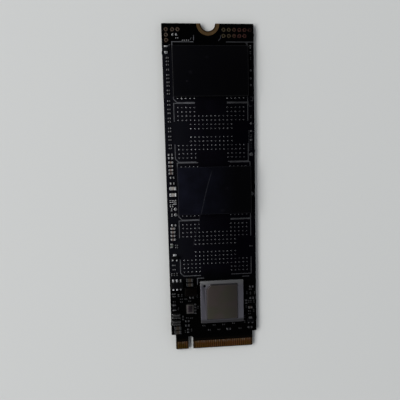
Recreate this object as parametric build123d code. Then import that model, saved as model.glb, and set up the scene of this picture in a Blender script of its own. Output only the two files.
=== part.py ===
from build123d import *
import math
import os

# A solid-state drive card lying on its plain face, parts side up. Millimetres.
# X runs across the card, Y from the contact edge to the screw notch, Z up.
# The origin is the middle of the card's underside.

# Card outline
board_length = 80.0
board_width = 22.0
board_thickness = 0.8
mask_thickness = 0.03
corner_radius = 0.25
tab_stub_radius = 1.0
tab_stub_reach = 0.1
left_stubs_from_contacts = [6.8]
left_stubs_from_notch = [6.7]
right_stubs_from_contacts = [7.5]
right_stubs_from_notch = [2.6, 30.0]

# Contact tongue
shoulder_height = 4.0
shoulder_inset = 1.075
shoulder_radius = 0.5
tongue_corner = 0.3
tongue_bevel = 0.2
bare_tongue_height = 2.75
key_width = 1.2
key_depth = 3.5
key_offset = 6.125
contact_pitch = 0.25
contact_width = 0.35
contact_setback = 0.25
top_contact_length = 2.1
underside_contact_length = 2.4
contact_positions = 75
contact_edge_margin = 0.3
contact_key_clearance = 0.15

# Screw notch
notch_radius = 1.75
notch_plating_wall = 0.03
notch_land_radius = 2.75

# Memory sites, as many as fit between the notch and the controller's end of the card
site_pitch = 14.2
first_site_from_notch = 11.18
lowest_site_from_contacts = 24.0
site_shift_upper = 0.37
site_shift_lower = 0.78
fitted_sites = {0: "upper", 2: "lower"}
pad_pitch = 1.0
pad_half_columns = 8
pad_half_rows = 6
pad_radius = 0.22
dome_height = 0.1
dome_sides = 6
package_margin = 1.0

# Hidden solder joints under the packages: many, so each has few sides
joint_radius = 0.25
joint_sides = 3

# Flash package
flash_half_rows = 5
flash_ball_height = 0.2
flash_substrate_thickness = 0.2
flash_mould_thickness = 0.7
flash_edge_break = 0.08
flash_outline_shift = 0.12
flash_side_margin = 1.05
flash_end_margin = 0.8

# Controller package
controller_side = 11.0
controller_x = 2.07
controller_from_contacts = 12.4
controller_ball_pitch = 0.8
controller_ball_rows = 12
controller_ball_centre_rows = 8
controller_ball_height = 0.25
controller_substrate_thickness = 0.3
lid_margin = 0.05
lid_thickness = 0.2
lid_across = 8.5
lid_along = 9.63
lid_rise = 0.35
lid_slope = 40
lid_corner_cut = 1.3
lid_corner_radius = 0.25
lid_brim_corner = 0.2
glue_thickness = 0.05
glue_width = 0.7
glue_inset = 0.15
die_across = 6.0
die_along = 7.2
paste_thickness = 0.05
paste_margin = 0.3
pin_mark_radius = 0.27
pin_mark_depth = 0.04
pin_mark_from_side = 1.1
pin_mark_from_end = 1.3

# Crystal
crystal_across = 2.0
crystal_along = 2.5
crystal_from_left = 4.9
crystal_from_contacts = 10.75
crystal_case_height = 0.45
crystal_corner_cut = 0.2
crystal_lid_inset = 0.06
crystal_lid_brim = 0.08
crystal_lid_centre_height = 0.07
crystal_lid_border = 0.4

# Six-lead regulator
regulator_across = 2.9
regulator_along = 1.6
regulator_height = 1.0
regulator_from_left = 1.8
regulator_from_contacts = 17.05
regulator_lead_pitch = 0.95
regulator_lead_width = 0.4
regulator_lead_span = 2.8
regulator_lead_foot = 0.4

# Three-lead transistors
transistor_across = 1.6
transistor_along = 0.8
transistor_height = 0.7
transistor_lead_pitch = 1.0
transistor_lead_width = 0.3
transistor_lead_span = 1.7
transistor_lead_foot = 0.22
transistor_tab_width = 0.8
transistor_from_left = 1.45
transistor_from_right = 1.58
left_transistor_from_contacts = 24.05
right_transistor_from_contacts = 6.9

# Leads in general
lead_thickness = 0.12
body_lift = 0.05

# Power inductor and chokes
inductor_across = 3.0
inductor_along = 2.0
inductor_height = 1.0
inductor_from_left = 5.2
inductor_from_contacts = 15.2
inductor_terminal = 0.4
choke_across = 2.0
choke_along = 1.2
choke_height = 0.9
choke_terminal = 0.42
choke_from_left = 1.35
chokes_from_contacts = [9.2, 7.45]
terminal_height = 0.12

# Chip parts: length, width, height and the length of one metal end
chip_sizes = {
    "large_capacitor": (1.6, 0.8, 0.8, 0.35),
    "medium_capacitor": (1.0, 0.5, 0.5, 0.25),
    "small_capacitor": (0.6, 0.3, 0.3, 0.17),
    "large_resistor": (1.6, 0.8, 0.45, 0.3),
    "medium_resistor": (1.0, 0.5, 0.35, 0.25),
    "small_resistor": (0.6, 0.3, 0.23, 0.17),
    "ferrite_bead": (1.0, 0.6, 0.5, 0.25),
    "diode": (1.6, 0.85, 0.6, 0.3),
}
body_recess = 0.015

# Round probe points by the notch
test_pad_radius = 0.46
test_pad_hole = 0.25
test_pad_thickness = 0.03
test_pad_sides = 6
left_pads_from_left = [1.05, 2.55, 3.8]
left_pad_column_from_notch = [1.35, 2.6, 3.8]
right_pad_pitch = 1.26
right_pad_count = 5
right_pads_from_right = 7.25
right_pad_rows_from_notch = [1.4, 2.8]
dark_pad_from_right = 0.9

# Probe dots beside the memory sites: site, radius, then steps along from the site's middle
right_dots = [
    (0, 0.25, [0.4, -1.45, -3.0]),
    (1, 0.25, [2.1, 0.25, -1.9]),
    (1, 0.4, [-5.4]),
    (2, 0.4, [-0.9]),
]
inner_dots = [(2, 0.38, [-4.25, -5.65])]
inner_dot_from_bracket = 0.73

# Printed ink
ink_thickness = 0.02
ink_width = 0.18
bracket_leg_across = 5.0
bracket_leg_along = 4.2
bracket_corner_cut = 0.8
controller_bracket_gap = 0.6
controller_bracket_leg = 1.6

# Columns of small parts along the card's two long edges
left_strip_inset = 1.22
right_strip_inset = 0.85
power_corner_height = 28.0

# Parts beside the memory sites: site, kind, turned, step in from the strip's line,
# then steps along from the site's middle
left_strip_layout = [
    (0, "small_capacitor", False, 0.0, [3.28, 2.48, 1.68, 0.58, -0.62, -1.42, -2.32, -3.12, -4.22, -4.97]),
    (1, "small_capacitor", False, 0.0, [7.53, 6.63, 5.58, 4.68, 3.48, 2.68]),
    (1, "small_capacitor", False, 0.0, [1.13, 0.38, -0.82, -1.62, -2.87, -3.62]),
    (1, "medium_resistor", False, 0.0, [-5.17, -5.97]),
    (2, "medium_capacitor", False, 0.0, [7.18, 6.28, 5.33, 4.53]),
    (2, "medium_resistor", False, 0.25, [3.48, 2.08]),
    (2, "large_capacitor", False, 0.35, [0.88, -0.7]),
    (2, "small_capacitor", True, -0.4, [-2.3, -3.35]),
    (2, "small_capacitor", True, 0.1, [-2.3, -3.35]),
    (2, "small_resistor", False, 0.73, [-2.1, -2.55, -3.0]),
    (2, "small_resistor", True, -0.12, [-4.35, -5.65]),
    (3, "medium_resistor", False, 0.25, [5.98]),
    (3, "medium_capacitor", False, 0.0, [5.18, 4.28, 3.38, 2.43]),
]
right_strip_layout = [
    (0, "small_resistor", True, 0.0, [5.88, 4.58, 3.23]),
    (1, "small_resistor", True, 0.0, [3.7, -0.97]),
    (3, "small_resistor", False, 0.33, [0.08]),
]

# Parts in the corner left of the controller: kind, turned,
# then places in from the left edge and up from the contacts
power_corner_layout = [
    ("small_resistor", False, [(2.0, 27.15), (2.0, 26.6), (1.2, 22.1), (1.2, 21.0)]),
    ("small_capacitor", True, [(0.57, 19.75), (1.23, 19.75), (1.93, 19.75), (3.55, 4.85), (5.15, 5.1)]),
    ("ferrite_bead", True, [(0.78, 27.1)]),
    ("large_capacitor", False, [(5.0, 18.2), (5.0, 17.05), (1.65, 5.95), (1.65, 4.85)]),
    ("medium_resistor", False, [(5.4, 13.6), (4.1, 7.55), (4.1, 6.4)]),
    ("small_capacitor", False, [(0.98, 14.75), (0.98, 14.1), (1.0, 12.75), (2.8, 12.6), (4.9, 12.7)]),
    ("small_resistor", False, [(2.8, 13.3), (3.95, 13.3), (4.15, 8.35), (5.2, 8.25)]),
    ("small_resistor", True, [(2.1, 14.3), (2.95, 14.3), (1.95, 10.8)]),
    ("medium_resistor", True, [(3.05, 8.4), (4.25, 5.0)]),
    ("diode", True, [(0.95, 11.3)]),
]

# Parts round the controller: kind, turned, then places out from its sides and up from the contacts
left_of_controller_layout = [
    ("small_resistor", True, [(0.72, 13.9), (0.62, 10.95)]),
    ("medium_resistor", True, [(1.32, 11.4), (1.32, 9.9)]),
]
right_of_controller_layout = [
    ("small_resistor", True, [(0.38, 7.8), (0.38, 6.55), (0.78, 10.45), (0.98, 14.1)]),
    ("medium_resistor", True, [(0.78, 11.85)]),
]

# Parts by the right edge: kind, turned, places in from the right edge and up from the contacts
right_edge_layout = [
    ("small_capacitor", False, [(1.8, 9.3), (1.8, 8.6), (1.5, 15.0)]),
    ("medium_resistor", False, [(1.25, 15.75), (1.2, 12.75), (1.65, 5.0)]),
    ("small_capacitor", True, [(1.5, 14.0), (0.4, 14.05), (0.7, 9.4)]),
    ("small_capacitor", True, [(1.95, 11.85), (1.4, 11.85), (0.6, 11.8)]),
    ("medium_capacitor", False, [(1.6, 10.35)]),
]

# Two rows between the controller and the contacts: kind, drop below the controller,
# then places across from its middle
below_controller_layout = [
    ("small_capacitor", 0.8, [-4.75, -2.1, 0.36]),
    ("small_capacitor", 0.58, [2.93]),
    ("small_capacitor", 2.05, [-3.35, -0.87, 4.63]),
    ("medium_resistor", 2.05, [1.66]),
]

# Parts beside the notch: kind, turned, places in from the left edge and down from the notch end
notch_corner_layout = [
    ("large_resistor", True, [(0.95, 5.97)]),
    ("medium_resistor", False, [(3.02, 2.6)]),
    ("small_resistor", False, [(3.6, 3.35), (5.15, 3.9), (6.1, 3.9)]),
]

left_x = -board_width / 2
right_x = board_width / 2
contact_y = -board_length / 2
notch_y = board_length / 2
site_count = int((board_length - first_site_from_notch - lowest_site_from_contacts) / site_pitch) + 1
outline_across = 2 * (pad_half_columns * pad_pitch + package_margin)
outline_along = 2 * (pad_half_rows * pad_pitch + package_margin)
flash_across = 2 * (pad_half_columns * pad_pitch + flash_side_margin)
flash_along = 2 * (flash_half_rows * pad_pitch + flash_end_margin)
site_y = [notch_y - first_site_from_notch - site_pitch * site for site in range(site_count)]
site_x = [site_shift_upper if site < site_count / 2 else site_shift_lower for site in range(site_count)]
controller_y = contact_y + controller_from_contacts
tongue_half_width = board_width / 2 - shoulder_inset

os.makedirs("parts", exist_ok=True)


def save(name, shapes):
    """Write one named group of solids to its own file."""
    solids = [solid for shape in shapes for solid in shape.solids()]
    group = Compound(children=solids, label=name)
    export_step(group, f"parts/{name}.step")


def block(x, y, z, across, along, height):
    """A plain block standing on height z, centred on x and y."""
    return Pos(x, y, z) * Box(across, along, height, align=(Align.CENTER, Align.CENTER, Align.MIN))


# Card


def card_outline():
    """The card's outline seen from above, without the notch."""
    panel_height = board_length - shoulder_height
    panel = Pos(0, notch_y - panel_height / 2) * RectangleRounded(board_width, panel_height, corner_radius)
    tongue_width = 2 * tongue_half_width
    tongue_height = shoulder_height + corner_radius
    tongue = Pos(0, contact_y + tongue_height / 2) * Rectangle(tongue_width, tongue_height)
    tip_corners = tongue.vertices().sort_by(Axis.Y)[:2]
    outline = panel + chamfer(tip_corners, tongue_corner)
    left_stubs = [contact_y + up for up in left_stubs_from_contacts]
    left_stubs += [notch_y - down for down in left_stubs_from_notch]
    right_stubs = [contact_y + up for up in right_stubs_from_contacts]
    right_stubs += [notch_y - down for down in right_stubs_from_notch]
    inward = tab_stub_radius - tab_stub_reach
    for stub_x, stubs in ((left_x + inward, left_stubs), (right_x - inward, right_stubs)):
        for stub_y in stubs:
            outline += Pos(stub_x, stub_y) * Circle(tab_stub_radius)
    return outline


def key_slot():
    """The slot that fits the socket's key, open at the contact edge."""
    straight = key_depth - key_width / 2
    slot = Pos(-key_offset, contact_y + straight / 2) * Rectangle(key_width, straight)
    return slot + Pos(-key_offset, contact_y + straight) * Circle(key_width / 2)


def circuit_board():
    """The laminate with its mask, thinner where the contacts lie bare."""
    plated_radius = notch_radius + notch_plating_wall
    outline = card_outline() - Pos(0, notch_y) * Circle(plated_radius) - key_slot()
    board = extrude(outline, board_thickness)
    bare_y = contact_y + bare_tongue_height / 2
    for bare_z in (0, board_thickness - mask_thickness):
        board -= block(0, bare_y, bare_z, board_width, bare_tongue_height, mask_thickness)
        board -= Pos(0, notch_y, bare_z) * Cylinder(
            notch_land_radius, mask_thickness, align=(Align.CENTER, Align.CENTER, Align.MIN)
        )
    for tip_z, inside_z in ((0, tongue_bevel), (board_thickness, board_thickness - tongue_bevel)):
        corners = [(contact_y, tip_z), (contact_y + tongue_bevel, tip_z), (contact_y, inside_z)]
        bevel = Plane.YZ * make_face(Polyline(*corners, close=True))
        board -= extrude(bevel, board_width, both=True)
    return board


def notch_plating():
    """Gold over both lands of the notch and down its wall, in one piece."""
    wall = Pos(0, notch_y) * Cylinder(
        notch_radius + notch_plating_wall, board_thickness, align=(Align.CENTER, Align.CENTER, Align.MIN)
    )
    plating = wall
    for land_z in (0, board_thickness - mask_thickness):
        plating += Pos(0, notch_y, land_z) * Cylinder(
            notch_land_radius, mask_thickness, align=(Align.CENTER, Align.CENTER, Align.MIN)
        )
    plating -= Pos(0, notch_y) * Cylinder(notch_radius, 3 * board_thickness)
    reach = 2 * notch_land_radius
    return plating - block(0, notch_y + notch_land_radius, 0, 2 * reach, reach, board_thickness)


def contacts(first, length, z):
    """Every second contact position from the first, where neither key slot nor edge is."""
    strips = []
    middle = (contact_positions + 1) / 2
    for position in range(first, contact_positions + 1, 2):
        x = -(position - middle) * contact_pitch
        at_key = abs(x + key_offset) < (key_width + contact_width) / 2 + contact_key_clearance
        past_edge = abs(x) + contact_width / 2 > tongue_half_width - contact_edge_margin
        if not at_key and not past_edge:
            y = contact_y + contact_setback + length / 2
            strips.append(block(x, y, z, contact_width, length, mask_thickness))
    return strips


# Probe points and printed ink


def test_ring():
    """One ring of bare plated copper."""
    ring = RegularPolygon(test_pad_radius, test_pad_sides) - RegularPolygon(test_pad_hole, test_pad_sides)
    return extrude(ring, test_pad_thickness)


def test_pads():
    """The rings in the two corners by the notch."""
    column_x = left_x + left_pads_from_left[0]
    places = [(column_x, notch_y - down) for down in left_pad_column_from_notch]
    top_row_y = notch_y - left_pad_column_from_notch[0]
    places += [(left_x + inward, top_row_y) for inward in left_pads_from_left[1:]]
    for down in right_pad_rows_from_notch:
        row_start = right_x - right_pads_from_right
        places += [(row_start + step * right_pad_pitch, notch_y - down) for step in range(right_pad_count)]
    places.append((right_x - dark_pad_from_right, notch_y - right_pad_rows_from_notch[0]))
    return [Pos(x, y, board_thickness) * test_ring() for x, y in places]


def test_dots():
    """Small round probe dots beside the memory sites."""
    places = []
    for site, radius, steps in right_dots:
        if site < site_count:
            places += [(right_x - right_strip_inset, site_y[site] + step, radius) for step in steps]
    for site, radius, steps in inner_dots:
        if site < site_count:
            dot_x = site_x[site] - outline_across / 2 - inner_dot_from_bracket
            places += [(dot_x, site_y[site] + step, radius) for step in steps]
    dots = []
    for x, y, radius in places:
        outline = Pos(x, y, board_thickness) * RegularPolygon(radius, test_pad_sides)
        dots.append(extrude(outline, test_pad_thickness))
    return dots


def ink_bar(start, end):
    """A printed stroke between two points, square at both ends."""
    run = Vector(*end) - Vector(*start)
    middle = (Vector(*start) + Vector(*end)) / 2
    angle = Vector(1, 0).get_signed_angle(run, Vector(0, 0, 1))
    return Pos(middle.X, middle.Y) * Rot(0, 0, angle) * Rectangle(run.length + ink_width, ink_width)


def site_brackets(x, y):
    """The four printed corners round one memory site, one of them cut for pin one."""
    half_across = outline_across / 2
    half_along = outline_along / 2
    strokes = []
    for side in (-1, 1):
        for end in (-1, 1):
            cut = bracket_corner_cut if side == end == -1 else 0
            corner_x = x + side * half_across
            corner_y = y + end * half_along
            across_start = (corner_x - side * cut, corner_y)
            along_start = (corner_x, corner_y - end * cut)
            strokes.append(ink_bar(across_start, (corner_x - side * bracket_leg_across, corner_y)))
            strokes.append(ink_bar(along_start, (corner_x, corner_y - end * bracket_leg_along)))
            if cut:
                strokes.append(ink_bar(across_start, along_start))
    return strokes


def printed_marks():
    """All ink on the parts side, joined where strokes cross."""
    strokes = []
    for x, y in zip(site_x, site_y):
        strokes += site_brackets(x, y)
    corner_x = controller_x - controller_side / 2 - controller_bracket_gap
    corner_y = controller_y + controller_side / 2 + controller_bracket_gap
    strokes.append(ink_bar((corner_x, corner_y), (corner_x + controller_bracket_leg, corner_y)))
    strokes.append(ink_bar((corner_x, corner_y), (corner_x, corner_y - controller_bracket_leg)))
    far_x = controller_x + controller_side / 2
    strokes.append(ink_bar((far_x, corner_y), (far_x + controller_bracket_leg, corner_y)))
    edge_bar_y = site_y[0] + outline_along / 2
    strokes.append(ink_bar((site_x[0] + outline_across / 2, edge_bar_y), (right_x - ink_width, edge_bar_y)))
    ink = Sketch() + strokes
    return Pos(0, 0, board_thickness) * extrude(ink, ink_thickness)


# Memory sites


def solder_joint(x, y, height):
    """One hidden joint between the card and a package."""
    return Pos(x, y, board_thickness) * extrude(RegularPolygon(joint_radius, joint_sides), height)


def pad_places(lowest_row, highest_row):
    """Places of the pads whose row, counted from the site's middle, is in the range."""
    places = []
    for row in range(-pad_half_rows, pad_half_rows + 1):
        for column in range(-pad_half_columns, pad_half_columns + 1):
            step = abs(row)
            outer_block = step >= 5 and abs(column) >= 4
            full_row = step in (3, 4)
            inner_block = step in (1, 2) and abs(column) <= 5
            if lowest_row <= step <= highest_row and (outer_block or full_row or inner_block):
                places.append((column * pad_pitch, row * pad_pitch))
    return places


def solder_dome():
    """A low faceted cap of solder on a bare pad."""
    base = RegularPolygon(pad_radius, dome_sides)
    return loft([base.face(), Vertex(0, 0, dome_height)])


def solder_domes(site, lowest_row):
    """The domes of one site, from the given row outwards."""
    dome = solder_dome()
    return [
        Pos(site_x[site] + x, site_y[site] + y, board_thickness) * dome
        for x, y in pad_places(lowest_row, pad_half_rows)
    ]


def flash_package(name, site):
    """One moulded memory chip on its substrate and grid of solder joints."""
    x = site_x[site]
    y = site_y[site]
    substrate_z = board_thickness + flash_ball_height
    mould_z = substrate_z + flash_substrate_thickness
    balls = [solder_joint(x + dx, y + dy, flash_ball_height) for dx, dy in pad_places(1, flash_half_rows)]
    outline_y = y + flash_outline_shift
    substrate = block(x, outline_y, substrate_z, flash_across, flash_along, flash_substrate_thickness)
    mould = block(x, outline_y, mould_z, flash_across, flash_along, flash_mould_thickness)
    mould = chamfer(mould.faces().sort_by(Axis.Z)[-1].edges(), flash_edge_break)
    save(f"flash_{name}_balls", balls)
    save(f"flash_{name}_substrate", [substrate])
    save(f"flash_{name}_mould", [mould])


# Controller


def plateau_outline(grow):
    """The lid's raised middle, with the corner by pin one cut off."""
    half_across = lid_across / 2 + grow
    half_along = lid_along / 2 + grow
    cut = lid_corner_cut + grow * (2 - math.sqrt(2))
    corners = [
        (-half_across, -half_along),
        (half_across, -half_along),
        (half_across, half_along),
        (-half_across + cut, half_along),
        (-half_across, half_along - cut),
    ]
    return make_face(Polyline(*corners, close=True))


def sloped_plateau(grow, height, corner_radius):
    """The plateau's form up to a height, its walls leaning in by the lid's slope."""
    inset = height * math.tan(math.radians(lid_slope))
    outlines = [plateau_outline(grow), plateau_outline(grow - inset)]
    if corner_radius:
        outlines = [fillet(outline.vertices(), corner_radius) for outline in outlines]
    lower, upper = outlines
    return loft([lower.face(), Pos(0, 0, height) * upper.face()], ruled=True)


def controller_lid(brim_z):
    """A pressed metal lid: a flat brim round a raised plateau, hollow beneath."""
    brim_side = controller_side - 2 * lid_margin
    brim = extrude(RectangleRounded(brim_side, brim_side, lid_brim_corner), lid_thickness)
    plateau = sloped_plateau(0, lid_thickness + lid_rise, lid_corner_radius)
    hollow = sloped_plateau(-lid_thickness, lid_rise, 0)
    mark_x = -controller_side / 2 + pin_mark_from_side
    mark_y = controller_side / 2 - pin_mark_from_end
    mark = Pos(mark_x, mark_y, lid_thickness) * Cylinder(pin_mark_radius, 2 * pin_mark_depth)
    return Pos(controller_x, controller_y, brim_z) * (brim + plateau - hollow - mark)


def controller_package():
    """The lidded processor, from its solder joints up."""
    substrate_z = board_thickness + controller_ball_height
    glue_z = substrate_z + controller_substrate_thickness
    brim_z = glue_z + glue_thickness
    ceiling_z = brim_z + lid_rise
    paste_z = ceiling_z - paste_thickness
    first = (controller_ball_rows - 1) / 2
    inner = controller_ball_centre_rows / 2
    balls = []
    for row in range(controller_ball_rows):
        for column in range(controller_ball_rows):
            if max(abs(row - first), abs(column - first)) > inner:
                x = controller_x + (column - first) * controller_ball_pitch
                y = controller_y + (row - first) * controller_ball_pitch
                balls.append(solder_joint(x, y, controller_ball_height))
    save("controller_balls", balls)
    x = controller_x
    y = controller_y
    side = controller_side
    save("controller_substrate", [block(x, y, substrate_z, side, side, controller_substrate_thickness)])
    glue_side = controller_side - 2 * glue_inset
    glue_gap = glue_side - 2 * glue_width
    glue = Rectangle(glue_side, glue_side) - Rectangle(glue_gap, glue_gap)
    save("controller_glue", [Pos(x, y, glue_z) * extrude(glue, glue_thickness)])
    save("controller_lid", [controller_lid(brim_z)])
    save("controller_die", [block(x, y, glue_z, die_across, die_along, paste_z - glue_z)])
    paste_across = die_across - 2 * paste_margin
    paste_along = die_along - 2 * paste_margin
    save("controller_paste", [block(x, y, paste_z, paste_across, paste_along, paste_thickness)])


# Crystal, regulator, transistors, inductors


def crystal():
    """A ceramic case with stepped corners under a welded metal lid."""
    x = left_x + crystal_from_left
    y = contact_y + crystal_from_contacts
    case = Rectangle(crystal_across, crystal_along)
    for side in (-1, 1):
        for end in (-1, 1):
            corner = Pos(side * crystal_across / 2, end * crystal_along / 2)
            case -= corner * Rectangle(2 * crystal_corner_cut, 2 * crystal_corner_cut)
    save("crystal_case", [Pos(x, y, board_thickness) * extrude(case, crystal_case_height)])
    brim_across = crystal_across - 2 * crystal_lid_inset
    brim_along = crystal_along - 2 * crystal_lid_inset
    brim = block(0, 0, 0, brim_across, brim_along, crystal_lid_brim)
    centre = block(
        0,
        0,
        crystal_lid_brim,
        brim_across - 2 * crystal_lid_border,
        brim_along - 2 * crystal_lid_border,
        crystal_lid_centre_height,
    )
    save("crystal_lid", [Pos(x, y, board_thickness + crystal_case_height) * (brim + centre)])


def bent_lead(half_body, half_span, foot, body_height, width):
    """One lead that leaves the body level, drops and ends in a flat foot, towards +Y."""
    shoulder_z = body_lift + body_height / 2
    foot_start = half_span - foot
    profile = Polyline(
        (half_body, shoulder_z),
        (foot_start, shoulder_z),
        (foot_start + lead_thickness, lead_thickness),
        (half_span, lead_thickness),
        (half_span, 0),
        (foot_start, 0),
        (foot_start - lead_thickness, shoulder_z - lead_thickness),
        (half_body, shoulder_z - lead_thickness),
        close=True,
    )
    return extrude(Plane.YZ * make_face(profile), width / 2, both=True)


def leaded_package(x, y, body_size, lead_span, lead_foot, upper_leads, lower_leads):
    """A moulded body and its leads, each a step across and a width, which leave the two long sides."""
    across, along, height = body_size
    body = block(x, y, board_thickness + body_lift, across, along, height)
    leads = []
    for turn, side_leads in ((0, upper_leads), (180, lower_leads)):
        for step, width in side_leads:
            lead = bent_lead(along / 2, lead_span / 2, lead_foot, height, width)
            leads.append(Pos(x + step, y, board_thickness) * Rot(0, 0, turn) * lead)
    return body, leads


def regulator():
    """The six-lead power part."""
    side_leads = [(step * regulator_lead_pitch, regulator_lead_width) for step in (-1, 0, 1)]
    body, leads = leaded_package(
        left_x + regulator_from_left,
        contact_y + regulator_from_contacts,
        (regulator_across, regulator_along, regulator_height),
        regulator_lead_span,
        regulator_lead_foot,
        side_leads,
        side_leads,
    )
    save("regulator_body", [body])
    save("regulator_leads", leads)


def transistors():
    """Two three-lead parts, one at each side of the card, each with one wide lead."""
    places = [
        (left_x + transistor_from_left, contact_y + left_transistor_from_contacts),
        (right_x - transistor_from_right, contact_y + right_transistor_from_contacts),
    ]
    bodies = []
    leads = []
    pair = [(side * transistor_lead_pitch / 2, transistor_lead_width) for side in (-1, 1)]
    for x, y in places:
        body, body_leads = leaded_package(
            x,
            y,
            (transistor_across, transistor_along, transistor_height),
            transistor_lead_span,
            transistor_lead_foot,
            [(0, transistor_tab_width)],
            pair,
        )
        bodies.append(body)
        leads += body_leads
    save("transistor_bodies", bodies)
    save("transistor_leads", leads)


def power_inductor():
    """A block that stands on a flat terminal at each end."""
    x = left_x + inductor_from_left
    y = contact_y + inductor_from_contacts
    body_z = board_thickness + terminal_height
    reach = (inductor_across - inductor_terminal) / 2
    feet = [
        block(x + side * reach, y, board_thickness, inductor_terminal, inductor_along, terminal_height)
        for side in (-1, 1)
    ]
    body = block(x, y, body_z, inductor_across, inductor_along, inductor_height - terminal_height)
    save("power_inductor_body", [body])
    save("power_inductor_terminals", feet)


def chokes():
    """Two wide chokes, each with a metal cap along both long sides."""
    x = left_x + choke_from_left
    bodies = []
    terminals = []
    for up in chokes_from_contacts:
        y = contact_y + up
        body_across = choke_across - 2 * body_recess
        body_along = choke_along - 2 * choke_terminal
        bodies.append(block(x, y, board_thickness, body_across, body_along, choke_height - body_recess))
        reach = (choke_along - choke_terminal) / 2
        for side in (-1, 1):
            cap_y = y + side * reach
            terminals.append(block(x, cap_y, board_thickness, choke_across, choke_terminal, choke_height))
    save("choke_bodies", bodies)
    save("choke_terminals", terminals)


# Chip parts

chip_bodies = {kind: [] for kind in chip_sizes}
chip_ends = {kind: [] for kind in chip_sizes}


def chip(kind, x, y, turned=False):
    """Add one chip part, its length across the card, or along it if turned."""
    length, width, height, end = chip_sizes[kind]
    turn = Rot(0, 0, 90) if turned else Rot(0, 0, 0)
    place = Pos(x, y, board_thickness) * turn
    body = block(0, 0, 0, length - 2 * end, width - 2 * body_recess, height - body_recess)
    chip_bodies[kind].append(place * body)
    reach = (length - end) / 2
    for side in (-1, 1):
        chip_ends[kind].append(place * block(side * reach, 0, 0, end, width, height))


def strip_parts(layout, strip_x, inward):
    """The parts along one edge, each set tied to its memory site, down to the power corner."""
    for site, kind, turned, step_in, steps in layout:
        if site < site_count:
            for step in steps:
                y = site_y[site] + step
                if y > contact_y + power_corner_height or inward < 0:
                    chip(kind, strip_x + inward * step_in, y, turned)


def corner_parts(layout, from_x, across_sign, from_y, along_sign):
    """Parts set out from one corner of the card or of the controller."""
    for kind, turned, places in layout:
        for across, along in places:
            chip(kind, from_x + across_sign * across, from_y + along_sign * along, turned)


def below_controller_parts():
    """The two rows between the controller and the contacts."""
    lower_side = controller_y - controller_side / 2
    for kind, drop, steps in below_controller_layout:
        for step in steps:
            chip(kind, controller_x + step, lower_side - drop)


def chip_parts():
    """Every chip part on the card."""
    half_side = controller_side / 2
    strip_parts(left_strip_layout, left_x + left_strip_inset, 1)
    strip_parts(right_strip_layout, right_x - right_strip_inset, -1)
    corner_parts(power_corner_layout, left_x, 1, contact_y, 1)
    corner_parts(left_of_controller_layout, controller_x - half_side, -1, contact_y, 1)
    corner_parts(right_of_controller_layout, controller_x + half_side, 1, contact_y, 1)
    corner_parts(right_edge_layout, right_x, -1, contact_y, 1)
    corner_parts(notch_corner_layout, left_x, 1, notch_y, -1)
    below_controller_parts()
    for kind in chip_sizes:
        save(f"{kind}_bodies", chip_bodies[kind])
        save(f"{kind}_ends", chip_ends[kind])


save("circuit_board", [circuit_board()])
save("notch_ground_plating", [notch_plating()])
save("contacts_top", contacts(1, top_contact_length, board_thickness - mask_thickness))
save("contacts_underside", contacts(2, underside_contact_length, 0))
save("test_pads", test_pads())
save("test_dots", test_dots())
save("printed_marks", [printed_marks()])
for site in range(site_count):
    lowest_row = pad_half_rows if site in fitted_sites else 1
    save(f"solder_domes_site_{site + 1}", solder_domes(site, lowest_row))
    if site in fitted_sites:
        flash_package(fitted_sites[site], site)
controller_package()
crystal()
regulator()
transistors()
power_inductor()
chokes()
chip_parts()
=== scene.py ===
import math
import random

import bmesh
import bpy
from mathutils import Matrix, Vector


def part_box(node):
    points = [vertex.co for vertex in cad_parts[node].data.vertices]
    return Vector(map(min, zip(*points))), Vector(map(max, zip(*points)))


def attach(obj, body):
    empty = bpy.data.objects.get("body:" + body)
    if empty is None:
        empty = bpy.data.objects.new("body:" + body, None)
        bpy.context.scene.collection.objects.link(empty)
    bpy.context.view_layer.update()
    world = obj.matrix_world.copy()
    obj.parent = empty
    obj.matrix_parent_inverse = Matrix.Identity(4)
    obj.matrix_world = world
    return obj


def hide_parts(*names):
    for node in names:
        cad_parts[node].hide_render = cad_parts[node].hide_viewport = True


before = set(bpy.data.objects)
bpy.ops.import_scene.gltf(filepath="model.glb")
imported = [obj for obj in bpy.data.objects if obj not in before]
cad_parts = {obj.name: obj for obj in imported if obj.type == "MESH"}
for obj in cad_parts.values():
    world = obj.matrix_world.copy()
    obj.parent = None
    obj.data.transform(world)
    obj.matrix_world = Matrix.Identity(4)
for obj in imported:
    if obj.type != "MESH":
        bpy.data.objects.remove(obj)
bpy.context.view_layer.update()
mm = 0.001  # the scene is in metres, sizes below are in millimetres
rng = random.Random(7)  # seeded, so domes and fillets vary the same way each run

# Camera, solved from the pad grid of the empty memory sites
cameraLook = {
    "place": (-10.81, 4.60, 99.38),
    "turnDegrees": (-6.24, -5.206, -1.374),
    "lensMm": 36.0,
    "sensorMm": 36.0,
    "shift": (-0.009, 0.047),
}


def addCamera(look):
    data = bpy.data.cameras.new("cardCamera")
    data.lens = look["lensMm"]
    data.sensor_width = look["sensorMm"]
    data.shift_x, data.shift_y = look["shift"]
    data.clip_start = mm
    camera = bpy.data.objects.new("cardCamera", data)
    camera.location = Vector(look["place"]) * mm
    camera.rotation_euler = [math.radians(a) for a in look["turnDegrees"]]
    bpy.context.scene.collection.objects.link(camera)
    bpy.context.scene.camera = camera


# A wide window to the left, and a room that is bright low down and dark overhead
windowLook = {
    "awayMm": 1500, "upDegrees": 37, "roundDegrees": 172, "sizeMm": (2100, 800),
    "radiance": 5.6, "colour": (1.0, 0.99, 0.975),
}
roomLook = {
    "colour": (0.93, 0.96, 1.0), "strengths": (1.0, 0.006), "fadeDegrees": (22, 50),
}


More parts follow.
